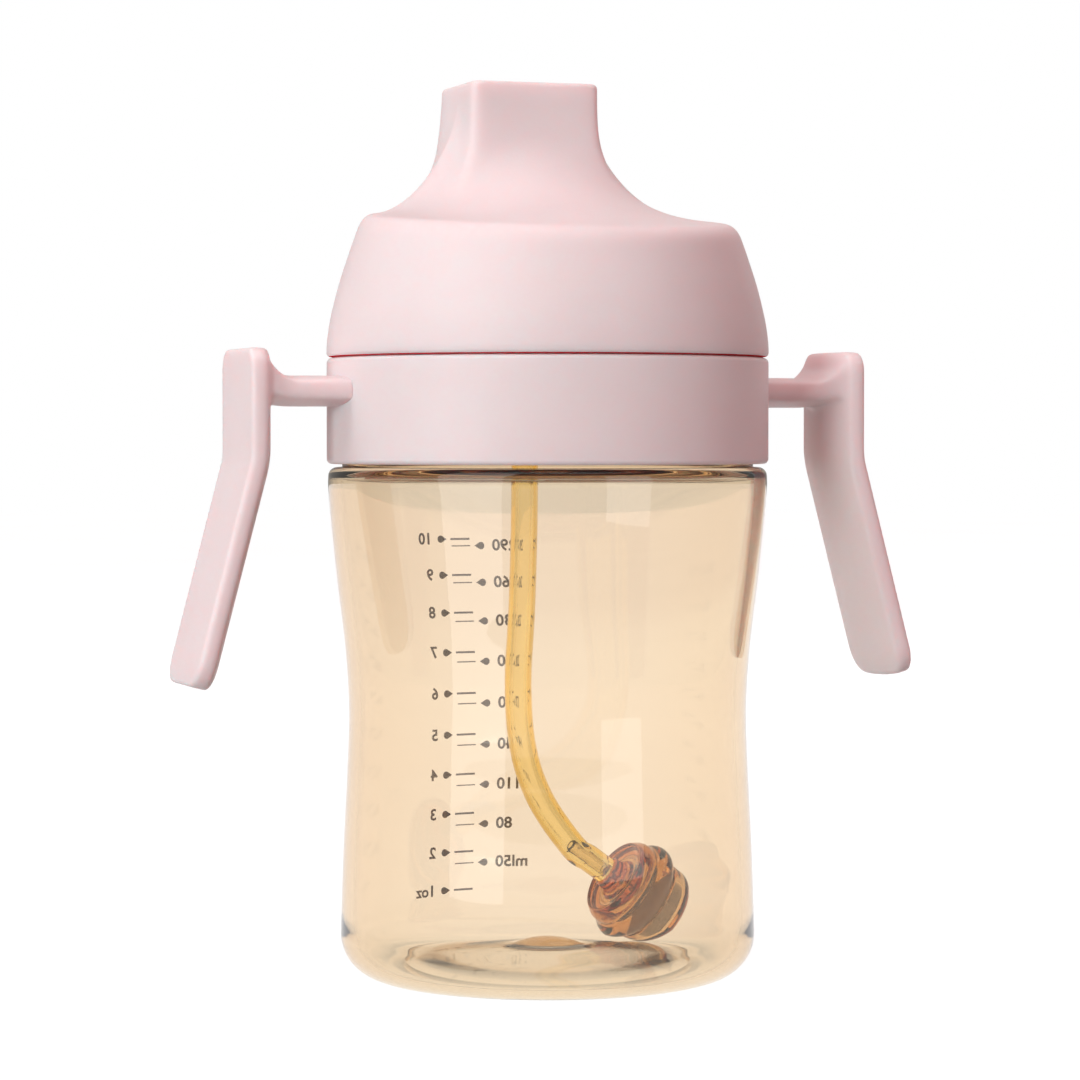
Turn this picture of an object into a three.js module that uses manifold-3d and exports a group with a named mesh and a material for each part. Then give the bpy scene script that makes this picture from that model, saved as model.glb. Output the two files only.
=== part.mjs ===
// Toddler's sippy cup: bottle, screw collar with two handles, lid, soft spout, dust cap,
// and a drinking straw with a weighted ball on its end.
// Millimetres, +Z up. The origin is the centre of the foot, on the axis of the bottle.
// -Y is the front, +Y the side that the child drinks from, and the handles lie along X.

import * as THREE from "three";
import { mergeVertices } from "three/addons/utils/BufferGeometryUtils.js";
import { ParametricGeometry } from "three/addons/geometries/ParametricGeometry.js";
import Module from "manifold-3d";

const wasm = await Module();
wasm.setup();

// ---------------------------------------------------------------- driving dimensions

const GAP = 0.3; // between pieces that touch
const ROUND = 40; // facets round the large pieces
const SMALL_ROUND = 24; // facets round the small ones

const WALL = 2.2; // bottle wall
const FOOT = { inner: 26.0, outer: 29.5, cornerRadius: 8.0 };
const FLOOR = { rim: 28.7, height: 1.75, cornerRadius: 6.5, centreHeight: 5.3, bumpRadius: 6.1,
  bumpHeight: 1.8 };
const SHOULDER = { radius: 39.6, top: 92.2, edgeRadius: 1.6 };
// Outside radius and height of the bottle's side, from the hip over the waist to the shoulder.
const SIDE = [
  [37.4, 11.0], [37.0, 23.0], [36.3, 37.0], [35.95, 48.5],
  [36.6, 59.5], [38.0, 71.5], [39.1, 82.0], [39.6, 88.5],
];
const NECK = { beadRadius: 37.1, beadTop: 93.8, radius: 35.6, bore: 33.2, mouth: 104.6 };
const THREAD = { pitch: 4.5, turns: 1.5, baseWidth: 1.7, crestWidth: 0.7, start: 96.0, crestOnNeck: 36.9,
  crestInCollar: 36.3 };

const COLLAR = { radius: 40.0, bore: 37.5, bottom: 92.8, top: 111.8, flangeBore: 33.0, flangeHeight: 2.2,
  edgeRadius: 0.9 };

// One handle, on the +X side: a flat grip hung from a short arm.
const GRIP = { outerX: 57.8, top: 113.2, bend: 94.0, bottom: 54.4, lean: 14.8, width: 22.4, edge: 2.9,
  crown: 2.4, topCorner: 3.5, bottomCorner: 4.5 };
const ARM = { height: 106.0, edge: 3.2, width: 17.0, crownUp: 0.9, crownDown: 1.4, rootX: 38.6 };

const LID = { radius: 37.1, bottom: 107.0, top: 109.3, plugRadius: 32.8, plugBore: 31.2,
  plugBottom: 102.0 };
const GASKET = { inner: 33.5, outer: 36.8, bottom: 104.9, top: 106.7 };
const SPOUT_AT = new THREE.Vector2(0, 13.3); // where the straw and the soft spout pass the lid
const SPOUT_HOLE = 9.0;
const VENT_AT = new THREE.Vector2(0, -18);
const VENT_HOLE = 1.5;

// Dust cap: a dome with a tilted top, from which the cover of the soft spout rises near the back.
const CAP = { radius: 39.9, bottom: 112.1, wall: 2.0, rimRadius: 33.6, rimHeight: 136.9, rimSlope: 0.09,
  rimCrown: 0.06, rimFillet: 2.4, skirtRadius: 32.7, skirtBore: 31.0, skirtBottom: 109.8 };
// Outside radius and height of the dome's side.
const DOME_SIDE = [
  [39.9, 113.2], [39.2, 118.8], [37.9, 124.2], [36.2, 129.6], [34.9, 133.3], [32.6, 139.6],
];
const COVER = { halfWidth: 12.3, front: 5.9, back: 26.4, top: 162.2, cornerRadius: 2.0, edgeRadius: 1.0 };
// How square the sweep from the cover to the rim is, from the front over the sides to the back:
// 2 is an ellipse, 1 a straight line.
const SWEEP = { front: 3.0, side: 1.75, back: 1.15 };

const STRAW = { radius: 2.5, bore: 1.6, sides: 10, steps: 30 };
const BALL = { centre: new THREE.Vector3(21.2, 11.2, 13.0), dip: 35.0, yaw: 6.5, stemEnd: -16.5,
  strawEnd: -7.75 };

// Colour, roughness and metalness of each material.
const FINISH = {
  pinkPlastic: { color: 0xe9d6d8, roughness: 0.45, metalness: 0 },
  amberClear: { color: 0xe8cfa6, roughness: 0.08, metalness: 0 },
  amberSilicone: { color: 0xf0c36e, roughness: 0.2, metalness: 0 },
  ballPlastic: { color: 0xa8692c, roughness: 0.08, metalness: 0 },
  clearSilicone: { color: 0xf2efe8, roughness: 0.4, metalness: 0 },
  steel: { color: 0xb9b9bb, roughness: 0.3, metalness: 1 },
};

// ---------------------------------------------------------------- geometry helpers

// A closed surface with shared vertices, no collapsed triangles and its faces pointing out.
function closed(geometry) {
  const bare = new THREE.BufferGeometry();
  bare.setAttribute("position", geometry.getAttribute("position").clone());
  bare.setIndex(geometry.getIndex());
  const merged = mergeVertices(bare, 1e-4);
  const position = merged.getAttribute("position");
  const all = merged.getIndex().array;
  const kept = [];
  const corner = [new THREE.Vector3(), new THREE.Vector3(), new THREE.Vector3()];
  let volume = 0;
  for (let i = 0; i < all.length; i += 3) {
    const [a, b, c] = [all[i], all[i + 1], all[i + 2]];
    if (a === b || b === c || c === a) {
      continue;
    }
    kept.push(a, b, c);
    [a, b, c].forEach((vertex, k) => corner[k].fromBufferAttribute(position, vertex));
    volume += corner[0].dot(corner[1].cross(corner[2]));
  }
  merged.setIndex(volume > 0 ? kept : kept.reverse());
  return merged;
}

function toManifold(geometry) {
  const solid = closed(geometry);
  return new wasm.Manifold(new wasm.Mesh({
    numProp: 3,
    vertProperties: new Float32Array(solid.getAttribute("position").array),
    triVerts: new Uint32Array(solid.getIndex().array),
  }));
}

function fromManifold(solid) {
  const mesh = solid.getMesh();
  const geometry = new THREE.BufferGeometry();
  geometry.setAttribute("position", new THREE.BufferAttribute(new Float32Array(mesh.vertProperties), 3));
  geometry.setIndex([...mesh.triVerts]);
  return geometry;
}

// Joins the added pieces to a base and then takes the cut ones away.
function combine(base, { add = [], cut = [] }) {
  let solid = toManifold(base);
  for (const piece of add) {
    solid = solid.add(toManifold(piece));
  }
  for (const piece of cut) {
    solid = solid.subtract(toManifold(piece));
  }
  return fromManifold(solid);
}

// Turns a profile of [radius, height] points about +Z. A ring's profile is closed on itself.
function turned(profile, { ring = true, facets = ROUND } = {}) {
  const points = profile.map(([radius, height]) => new THREE.Vector2(radius, height));
  if (ring) {
    points.push(points[0].clone());
  }
  return closed(new THREE.LatheGeometry(points, facets).rotateX(Math.PI / 2));
}

// Points of a circular arc in a profile, angles in degrees from the outward direction.
function arc(centreRadius, centreHeight, radius, from, to, steps) {
  const points = [];
  for (let i = 0; i <= steps; i += 1) {
    const angle = THREE.MathUtils.degToRad(from + ((to - from) * i) / steps);
    points.push([centreRadius + radius * Math.cos(angle), centreHeight + radius * Math.sin(angle)]);
  }
  return points;
}

// Points of a smooth curve through a few profile points, moved in by an offset.
function smooth(points, steps, offset = 0) {
  const knots = points.map(([radius, height]) => new THREE.Vector2(radius - offset, height));
  const curve = new THREE.SplineCurve(knots);
  return curve.getPoints(steps).map((point) => [point.x, point.y]);
}

// A solid skinned over rings of points. Each ring is a list of Vector3, and both ends are
// closed by a fan to the middle of the first and the last ring.
function skinned(rings) {
  const fan = (ring) => {
    const middle = ring.reduce((sum, point) => sum.add(point), new THREE.Vector3());
    middle.divideScalar(ring.length);
    return ring.map(() => middle);
  };
  const rows = [fan(rings[0]), ...rings, fan(rings.at(-1))];
  const slices = rings[0].length;
  const surface = (u, v, target) => {
    const row = rows[Math.round(v * (rows.length - 1))];
    target.copy(row[Math.round(u * slices) % slices]);
  };
  return closed(new ParametricGeometry(surface, slices, rows.length - 1));
}

// The same, but the last ring joins the first, as the skin of a tube or a shell does.
function skinnedLoop(rings) {
  const slices = rings[0].length;
  const surface = (u, v, target) => {
    const row = rings[Math.round(v * rings.length) % rings.length];
    target.copy(row[Math.round(u * slices) % slices]);
  };
  return closed(new ParametricGeometry(surface, slices, rings.length));
}

// A screw thread's ridge, standing on a wall of rootRadius and reaching crestRadius.
function threadRidge(rootRadius, crestRadius, startHeight, startTurn) {
  const stations = Math.round(THREAD.turns * ROUND);
  const bury = 0.4 * Math.sign(rootRadius - crestRadius);
  const section = [
    [rootRadius + bury, -THREAD.baseWidth / 2], [crestRadius, -THREAD.crestWidth / 2],
    [crestRadius, THREAD.crestWidth / 2], [rootRadius + bury, THREAD.baseWidth / 2],
  ];
  const rings = [];
  for (let i = 0; i <= stations; i += 1) {
    const turn = startTurn + (THREAD.turns * i) / stations;
    const angle = 2 * Math.PI * turn;
    // The ridge runs out into the wall over its first and last stations.
    const rise = Math.min(1, (i + 0.5) / 3, (stations - i + 0.5) / 3);
    rings.push(section.map(([radius, height]) => {
      const reach = rootRadius + bury + (radius - rootRadius - bury) * rise;
      const level = startHeight + THREAD.pitch * (turn - startTurn) + height;
      return new THREE.Vector3(reach * Math.cos(angle), reach * Math.sin(angle), level);
    }));
  }
  return skinned(rings);
}

const cup = new THREE.Group();

function addPiece(name, geometry, finish, parent = cup) {
  const mesh = new THREE.Mesh(geometry, new THREE.MeshStandardMaterial(finish));
  mesh.name = name;
  parent.add(mesh);
  return mesh;
}

// ---------------------------------------------------------------- bottle

function bottleBody() {
  const corner = FOOT.cornerRadius;
  const edge = SHOULDER.edgeRadius;
  const underside = [
    [0, 3.6], [4.8, 2.9], [10, 2.7], [19, 1.2], [FOOT.inner - 0.6, 0.45], [FOOT.inner, 0],
  ];
  const outside = [
    [FOOT.outer, 0],
    ...arc(FOOT.outer, corner, corner, -72, -18, 3),
    ...smooth(SIDE, 10),
    ...arc(SHOULDER.radius - edge, SHOULDER.top - edge, edge, 0, 90, 3),
    [NECK.beadRadius, SHOULDER.top],
    [NECK.beadRadius, NECK.beadTop],
    [NECK.radius, NECK.beadTop + 0.6],
    [NECK.radius, NECK.mouth - 0.5],
    [NECK.radius - 0.5, NECK.mouth],
  ];
  const inside = [
    [NECK.bore + 0.5, NECK.mouth],
    [NECK.bore, NECK.mouth - 0.5],
    [NECK.bore, SHOULDER.top],
    [SHOULDER.radius - WALL - 1.2, SHOULDER.top - 3.0],
    ...smooth(SIDE, 9, WALL).reverse().slice(1),
    ...arc(FLOOR.rim, FLOOR.height + FLOOR.cornerRadius, FLOOR.cornerRadius, -15, -90, 4),
    [19, 3.7],
    [10, FLOOR.centreHeight - 0.2],
    [FLOOR.bumpRadius, FLOOR.centreHeight],
    [3.2, FLOOR.centreHeight + 0.75 * FLOOR.bumpHeight],
    [0, FLOOR.centreHeight + FLOOR.bumpHeight],
  ];
  const shell = turned([...underside, ...outside, ...inside], { ring: false });
  const ridge = threadRidge(NECK.radius, THREAD.crestOnNeck, THREAD.start, 0);
  return combine(shell, { add: [ridge] });
}

// ---------------------------------------------------------------- collar and handles

// The grip's outline in plan: flat outside, crowned inside. x is measured in from the outer face.
function gripSection(scale) {
  const half = (GRIP.width / 2) * scale;
  const points = [[0, -half], [0, half]];
  const steps = 6;
  for (let i = 0; i <= steps; i += 1) {
    const side = 1 - (2 * i) / steps;
    points.push([-GRIP.edge - GRIP.crown * scale * (1 - side * side), half * side]);
  }
  return points;
}

// The grip's share of its full width at a distance from its end, where its corners are rounded.
function widthShare(distance, corner) {
  const half = GRIP.width / 2;
  const rest = Math.max(0, corner - distance);
  return (half - corner + Math.sqrt(corner * corner - rest * rest)) / half;
}

function grip() {
  const lean = THREE.MathUtils.degToRad(GRIP.lean);
  const leaningX = (height) => GRIP.outerX + (GRIP.bend - height) * Math.tan(lean);
  const { top, bottom, bend, topCorner, bottomCorner } = GRIP;
  // Height, outer face, lean of the section and width, from the bottom to the top.
  const lowerEnd = [0, 0.12, 0.45, 1].map((share) => {
    const height = bottom + bottomCorner * share;
    return [height, leaningX(height), lean, widthShare(bottomCorner * share, bottomCorner)];
  });
  const upperEnd = [1, 0.45, 0.12, 0].map((share) =>
    [top - topCorner * share, GRIP.outerX, 0, widthShare(topCorner * share, topCorner)]);
  const stations = [
    ...lowerEnd,
    [74, leaningX(74), lean, 1],
    [bend - 1.5, leaningX(bend - 1.5), lean, 1],
    [bend + 2.5, GRIP.outerX, lean / 2, 1],
    [98, GRIP.outerX, 0, 1],
    ...upperEnd,
  ];
  return skinned(stations.map(([height, outerX, tilt, scale]) => gripSection(scale).map(([depth, y]) =>
    new THREE.Vector3(outerX + depth * Math.cos(tilt), y, height + depth * Math.sin(tilt)))));
}

function arm() {
  const innerFace = GRIP.outerX - GRIP.edge;
  // Distance out, half width, edge above and below the middle, and crown. At the outer end the top
  // sweeps up to the grip's top.
  const stations = [
    [ARM.rootX, ARM.width / 2, ARM.edge / 2, ARM.edge / 2, 1],
    [49, ARM.width / 2, ARM.edge / 2, ARM.edge / 2, 1],
    [51, ARM.width / 2 + 0.3, 2.1, 1.4, 1],
    [52.8, ARM.width / 2 + 0.8, 3.4, 1.2, 1],
    [54.2, ARM.width / 2 + 1.3, 5.0, 1.5, 0.8],
    [innerFace + 0.8, ARM.width / 2 + 1.8, 6.6, 2.8, 0.5],
  ];
  return skinned(stations.map(([x, half, above, below, crown]) => {
    const ring = [];
    const steps = 6;
    for (let i = 0; i <= steps; i += 1) {
      const side = -1 + (2 * i) / steps;
      const level = ARM.height + above + ARM.crownUp * crown * (1 - side * side);
      ring.push(new THREE.Vector3(x, half * side, level));
    }
    for (let i = steps; i >= 0; i -= 1) {
      const side = -1 + (2 * i) / steps;
      const level = ARM.height - below - ARM.crownDown * crown * (1 - side * side);
      ring.push(new THREE.Vector3(x, half * side, level));
    }
    return ring;
  }));
}

function handleCollar() {
  const { radius, bore, bottom, top, flangeBore, flangeHeight, edgeRadius } = COLLAR;
  const ring = turned([
    [bore, bottom], ...arc(radius - edgeRadius, bottom + edgeRadius, edgeRadius, -90, 0, 2),
    ...arc(radius - edgeRadius, top - edgeRadius, edgeRadius, 0, 90, 2), [flangeBore, top],
    [flangeBore, top - flangeHeight], [bore, top - flangeHeight],
  ]);
  const quarter = 0.25;
  const ridgeStart = THREAD.start + THREAD.pitch * quarter - THREAD.pitch / 2;
  const ridge = threadRidge(bore, THREAD.crestInCollar, ridgeStart, quarter);
  const right = [grip(), arm()];
  const left = [grip(), arm()].map((piece) => piece.rotateZ(Math.PI));
  return combine(ring, { add: [ridge, ...right, ...left] });
}

// ---------------------------------------------------------------- lid and its soft parts

function lid() {
  const plate = turned([
    [0, LID.bottom], [LID.plugBore, LID.bottom], [LID.plugBore, LID.plugBottom],
    [LID.plugRadius, LID.plugBottom], [LID.plugRadius, LID.bottom], [LID.radius, LID.bottom],
    [LID.radius, LID.top], [0, LID.top],
  ], { ring: false });
  const drill = (radius, at) => new THREE.CylinderGeometry(radius, radius, 20, SMALL_ROUND)
    .rotateX(Math.PI / 2).translate(at.x, at.y, LID.top);
  return combine(plate, { cut: [drill(SPOUT_HOLE, SPOUT_AT), drill(VENT_HOLE, VENT_AT)] });
}

function lidGasket() {
  const { inner, outer, bottom, top } = GASKET;
  return turned([[inner, bottom], [outer, bottom], [outer, top], [inner, top]]);
}

// An umbrella valve: its disc closes the underside of the vent, and its bulb holds it from above.
function ventValve() {
  const stem = VENT_HOLE - GAP;
  return turned([
    [0, LID.bottom - 1.7], [2.4, LID.bottom - 1.5], [4.2, LID.bottom - 0.9], [4.2, LID.bottom - GAP],
    [stem, LID.bottom - GAP], [stem, LID.top + GAP], [2.2, LID.top + GAP], [1.5, LID.top + 1.6],
    [0, LID.top + 1.9],
  ], { ring: false, facets: 16 }).translate(VENT_AT.x, VENT_AT.y, 0);
}

// The soft spout: a grommet in the lid, a flattened spout above and a tail below.
function mouthpiece() {
  const tailBottom = 100.0;
  // Height, half width, half depth and how far behind the grommet the ring's centre lies.
  const outside = [
    [tailBottom, 4.4, 4.4, 0], [104.6, 4.4, 4.4, 0], [105.2, 10.6, 10.6, 0],
    [LID.bottom - GAP, 10.6, 10.6, 0], [LID.bottom - GAP, SPOUT_HOLE - GAP, SPOUT_HOLE - GAP, 0],
    [LID.top + GAP, SPOUT_HOLE - GAP, SPOUT_HOLE - GAP, 0], [LID.top + GAP, 12.2, 12.2, 0],
    [LID.top + 1.8, 12.2, 12.2, 0], [LID.top + 2.6, 11.0, 9.4, 0.4], [122, 9.4, 7.2, 1.2],
    [136, 8.2, 5.4, 2.2], [148, 7.8, 4.4, 2.8], [154.5, 7.8, 3.9, 3.0], [156.4, 6.6, 2.9, 3.1],
  ];
  const inside = [
    [156.4, 3.4, 1.0, 3.1], [150, 4.6, 1.8, 2.9], [134, 5.0, 2.6, 2.0], [118, 3.2, 2.6, 0.8],
    [106, 1.9, 1.9, 0], [105.2, 2.6, 2.6, 0], [tailBottom, 2.6, 2.6, 0],
  ];
  const slices = SMALL_ROUND;
  return skinnedLoop([...outside, ...inside].map(([height, halfWidth, halfDepth, back]) => {
    const ring = [];
    for (let i = 0; i < slices; i += 1) {
      const angle = (2 * Math.PI * i) / slices;
      ring.push(new THREE.Vector3(
        SPOUT_AT.x + halfWidth * Math.cos(angle),
        SPOUT_AT.y + back + halfDepth * Math.sin(angle),
        height,
      ));
    }
    return ring;
  }));
}

// A ferrule: its nipple plugs into the spout's tail, and the straw pushes up into its socket.
function strawConnector() {
  const socket = STRAW.radius + GAP;
  return turned([
    [socket, 94.0], [3.9, 94.0], [3.9, 99.7], [2.3, 99.7], [2.3, 104.6], [1.3, 104.6], [1.3, 99.0],
    [socket, 99.0],
  ], { facets: SMALL_ROUND }).translate(SPOUT_AT.x, SPOUT_AT.y, 0);
}

// ---------------------------------------------------------------- straw and ball

function ballDirection() {
  const dip = THREE.MathUtils.degToRad(BALL.dip);
  const yaw = THREE.MathUtils.degToRad(BALL.yaw);
  return new THREE.Vector3(Math.cos(dip) * Math.cos(yaw), Math.cos(dip) * Math.sin(yaw), -Math.sin(dip));
}

// The silicone tube hangs from the ferrule and curls along the floor to the ball.
function strawTube() {
  const onBallAxis = (distance) => BALL.centre.clone().addScaledVector(ballDirection(), distance);
  const route = new THREE.CatmullRomCurve3([
    new THREE.Vector3(SPOUT_AT.x, SPOUT_AT.y, 98.7),
    new THREE.Vector3(0, 13.2, 84.0),
    new THREE.Vector3(-0.6, 12.8, 67.0),
    new THREE.Vector3(-1.5, 12.4, 52.0),
    new THREE.Vector3(-0.6, 12.0, 40.0),
    new THREE.Vector3(2.7, 11.5, 30.6),
    onBallAxis(BALL.strawEnd - 8),
    onBallAxis(BALL.strawEnd - 4),
    onBallAxis(BALL.strawEnd),
  ], false, "centripetal");
  const section = new THREE.Shape().absarc(0, 0, STRAW.radius, 0, 2 * Math.PI);
  section.holes.push(new THREE.Path().absarc(0, 0, STRAW.bore, 0, 2 * Math.PI, true));
  return closed(new THREE.ExtrudeGeometry(section, {
    extrudePath: route, steps: STRAW.steps, curveSegments: STRAW.sides / 2, bevelEnabled: false,
  }));
}

// The ball's pieces are turned about its own axis, with heights measured from its flange towards
// its lower end.
function ballTopShell() {
  const stem = STRAW.bore - GAP;
  return turned([
    [0.7, BALL.stemEnd], [stem, BALL.stemEnd], [stem, BALL.strawEnd + GAP], [2.9, BALL.strawEnd + GAP],
    [3.1, -5.6], [4.2, -4.3], [5.8, -4.4], [6.9, -5.2], [7.3, -5.35],
    [8.0, -4.6], [8.4, -3.4], [8.5, -2.3],
    ...arc(7.5, 0, 2.27, -55, 60, 6),
    [7.9, 2.3], [7.0, 2.3], [7.0, -1.4], [5.8, -2.8], [0.7, -2.8],
  ], { facets: SMALL_ROUND });
}

function ballSeal() {
  return turned([[5.6, 0.9], [6.7, 0.9], [6.7, 2.0], [5.6, 2.0]], { facets: SMALL_ROUND });
}

function ballCore() {
  return turned([[2.6, 2.4], [6.6, 2.4], [6.6, 6.0], [2.6, 6.0]], { facets: SMALL_ROUND });
}

function ballCup() {
  const shell = turned([
    [6.9, 2.6], [8.1, 2.6], [8.27, 2.9], [8.27, 5.2], ...arc(5.9, 5.6, 2.3, 20, 90, 3),
    [1.5, 7.9], [1.5, 6.4], [6.2, 6.4], [6.9, 5.8],
  ], { facets: SMALL_ROUND });
  const nubs = [0, 1, 2, 3].map((quarter) => {
    const angle = ((quarter + 0.5) * Math.PI) / 2;
    const nub = new THREE.SphereGeometry(0.5, 8, 6);
    return nub.translate(5.4 * Math.cos(angle), 5.4 * Math.sin(angle), 7.95);
  });
  return combine(shell, { add: nubs });
}

function addBall() {
  const ball = new THREE.Group();
  ball.position.copy(BALL.centre);
  ball.quaternion.setFromUnitVectors(new THREE.Vector3(0, 0, 1), ballDirection());
  addPiece("ball_top_shell", ballTopShell(), FINISH.ballPlastic, ball);
  addPiece("ball_seal", ballSeal(), FINISH.clearSilicone, ball);
  addPiece("ball_core", ballCore(), FINISH.steel, ball);
  addPiece("ball_cup", ballCup(), FINISH.ballPlastic, ball);
  cup.add(ball);
}

// ---------------------------------------------------------------- dust cap

// Distance from the cover's middle to a rounded rectangle's outline, along a direction in plan.
function coverReach(direction, halfWidth, halfDepth, cornerRadius) {
  const power = 2 + (2 * Math.min(halfWidth, halfDepth)) / cornerRadius;
  const x = Math.abs(direction.x) / halfWidth;
  const y = Math.abs(direction.y) / halfDepth;
  return 1 / (x ** power + y ** power) ** (1 / power);
}

// Distance from the cover's middle to a circle about the cup's axis, along a direction in plan.
function circleReach(direction, middleY, radius) {
  const along = middleY * direction.y;
  return -along + Math.sqrt(along * along + radius * radius - middleY * middleY);
}

// One side of the cap's wall, as rings from the middle of its top down to its lower edge.
// offset is how far it lies inside the outer surface.
function capRings(offset) {
  const middleY = (COVER.front + COVER.back) / 2;
  const halfWidth = COVER.halfWidth - offset;
  const halfDepth = (COVER.back - COVER.front) / 2 - offset;
  const slices = ROUND;
  const sideCurve = new THREE.SplineCurve(DOME_SIDE.map(([radius, height]) =>
    new THREE.Vector2(radius - offset, height)));
  const radiusAt = (height) => {
    const from = DOME_SIDE[0][1];
    const to = DOME_SIDE.at(-1)[1];
    return sideCurve.getPoint(THREE.MathUtils.clamp((height - from) / (to - from), 0, 1)).x;
  };
  const place = (direction, reach, height) =>
    new THREE.Vector3(direction.x * reach, middleY + direction.y * reach, height);
  const columns = [];
  for (let i = 0; i < slices; i += 1) {
    const angle = (2 * Math.PI * i) / slices;
    const direction = new THREE.Vector2(Math.cos(angle), Math.sin(angle));
    const top = COVER.top - offset;
    const start = coverReach(direction, halfWidth, halfDepth, Math.max(1, COVER.cornerRadius - offset));
    const rimReach = circleReach(direction, middleY, CAP.rimRadius - offset);
    const topAt = (reach) => CAP.rimHeight + CAP.rimSlope * (middleY + direction.y * reach)
      + CAP.rimCrown * (rimReach - reach) - offset;
    const rimTop = topAt(rimReach);
    const toSide = THREE.MathUtils.smoothstep(direction.y, -0.66, -0.1);
    const toBack = THREE.MathUtils.smoothstep(direction.y, -0.1, 0.9);
    const power = SWEEP.front + (SWEEP.side - SWEEP.front) * toSide + (SWEEP.back - SWEEP.side) * toBack;
    const column = [
      place(direction, start - COVER.edgeRadius, top),
      place(direction, start - 0.3 * COVER.edgeRadius, top - 0.3 * COVER.edgeRadius),
    ];
    const sweepTop = top - COVER.edgeRadius;
    const sweepSteps = 7;
    const reachEnd = rimReach - CAP.rimFillet * 0.8;
    for (let k = 0; k <= sweepSteps; k += 1) {
      const swing = (Math.PI / 2) * (k / sweepSteps);
      const out = 1 - Math.cos(swing) ** (2 / power);
      const down = Math.sin(swing) ** (2 / power);
      const reach = start + (reachEnd - start) * out;
      column.push(place(direction, reach, sweepTop + (topAt(reach) - sweepTop) * down));
    }
    const sideSteps = 4;
    const sideTop = rimTop - CAP.rimFillet;
    const sideBottom = offset > 0 ? CAP.skirtBottom + 6.0 : CAP.bottom + 0.6;
    for (let k = 0; k <= sideSteps; k += 1) {
      const height = THREE.MathUtils.lerp(sideTop, sideBottom, k / sideSteps);
      const reach = circleReach(direction, middleY, radiusAt(height));
      column.push(place(direction, reach, height));
    }
    columns.push(column);
  }
  return columns[0].map((_, row) => columns.map((column) => column[row]));
}

function circleRing(radius, height) {
  const middleY = (COVER.front + COVER.back) / 2;
  const ring = [];
  for (let i = 0; i < ROUND; i += 1) {
    const angle = (2 * Math.PI * i) / ROUND;
    const direction = new THREE.Vector2(Math.cos(angle), Math.sin(angle));
    const reach = circleReach(direction, middleY, radius);
    ring.push(new THREE.Vector3(direction.x * reach, middleY + direction.y * reach, height));
  }
  return ring;
}

function dustCap() {
  const rings = [
    ...capRings(0),
    circleRing(CAP.radius - 0.5, CAP.bottom),
    circleRing(CAP.skirtRadius, CAP.bottom),
    circleRing(CAP.skirtRadius, CAP.skirtBottom),
    circleRing(CAP.skirtBore, CAP.skirtBottom),
    circleRing(CAP.skirtBore, CAP.skirtBottom + 4.0),
    ...capRings(CAP.wall).reverse(),
  ];
  return skinned(rings);
}

// ---------------------------------------------------------------- assembly

addPiece("bottle_body", bottleBody(), FINISH.amberClear);
addPiece("lid_gasket", lidGasket(), FINISH.clearSilicone);
addPiece("handle_collar", handleCollar(), FINISH.pinkPlastic);
addPiece("lid", lid(), FINISH.pinkPlastic);
addPiece("vent_valve", ventValve(), FINISH.clearSilicone);
addPiece("mouthpiece", mouthpiece(), FINISH.clearSilicone);
addPiece("straw_connector", strawConnector(), FINISH.clearSilicone);
addPiece("straw_tube", strawTube(), FINISH.amberSilicone);
addBall();
addPiece("dust_cap", dustCap(), FINISH.pinkPlastic);

export default cup;
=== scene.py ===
# Toddler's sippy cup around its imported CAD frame: an amber bottle with a printed scale, a screw
# collar with two handles, a lid with a soft spout, a dust cap, and a straw with a weighted ball.
# Shapes are in millimetres here and in metres in Blender. The origin is the centre of the foot.
import math

import bmesh
import bpy
from mathutils import Matrix, Vector


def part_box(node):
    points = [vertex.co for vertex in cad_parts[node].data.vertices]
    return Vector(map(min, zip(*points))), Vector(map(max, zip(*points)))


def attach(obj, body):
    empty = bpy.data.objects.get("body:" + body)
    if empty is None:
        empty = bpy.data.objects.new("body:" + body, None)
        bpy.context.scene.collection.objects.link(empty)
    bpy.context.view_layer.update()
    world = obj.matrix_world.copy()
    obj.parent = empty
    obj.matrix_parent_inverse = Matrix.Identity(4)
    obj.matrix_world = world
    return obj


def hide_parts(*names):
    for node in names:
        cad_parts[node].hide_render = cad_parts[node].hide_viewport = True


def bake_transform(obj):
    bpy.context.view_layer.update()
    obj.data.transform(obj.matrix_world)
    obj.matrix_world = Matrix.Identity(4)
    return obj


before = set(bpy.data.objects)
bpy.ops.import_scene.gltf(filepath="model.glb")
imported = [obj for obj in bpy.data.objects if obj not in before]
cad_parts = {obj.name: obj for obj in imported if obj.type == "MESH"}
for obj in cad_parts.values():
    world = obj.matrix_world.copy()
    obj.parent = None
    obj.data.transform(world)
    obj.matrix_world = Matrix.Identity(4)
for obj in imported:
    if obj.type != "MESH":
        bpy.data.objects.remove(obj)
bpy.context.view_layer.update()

MM = 0.001


# ---------------------------------------------------------------- what the frame says

def low(node):
    """The lowest corner of a CAD node, in millimetres."""
    return Vector(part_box(node)[0]) / MM


def high(node):
    """The highest corner of a CAD node, in millimetres."""
    return Vector(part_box(node)[1]) / MM


def middle(node):
    """The mean of a CAD node's vertices, in millimetres, which for a turned ring is its centre."""
    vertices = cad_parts[node].data.vertices
    total = Vector()
    for vertex in vertices:
        total += vertex.co
    return total / len(vertices) / MM


MOUTH = high("bottle_body").z
COLLAR_RADIUS = high("dust_cap").x + 0.1
COVER_TOP = high("dust_cap").z
CAP_SKIRT_BOTTOM = low("dust_cap").z
LID_BOTTOM = 107.0
LID_TOP = high("lid").z
SPOUT_AT = Vector((middle("straw_connector").x, middle("straw_connector").y, 0))
VENT_AT = Vector((middle("vent_valve").x, middle("vent_valve").y, 0))

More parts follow.
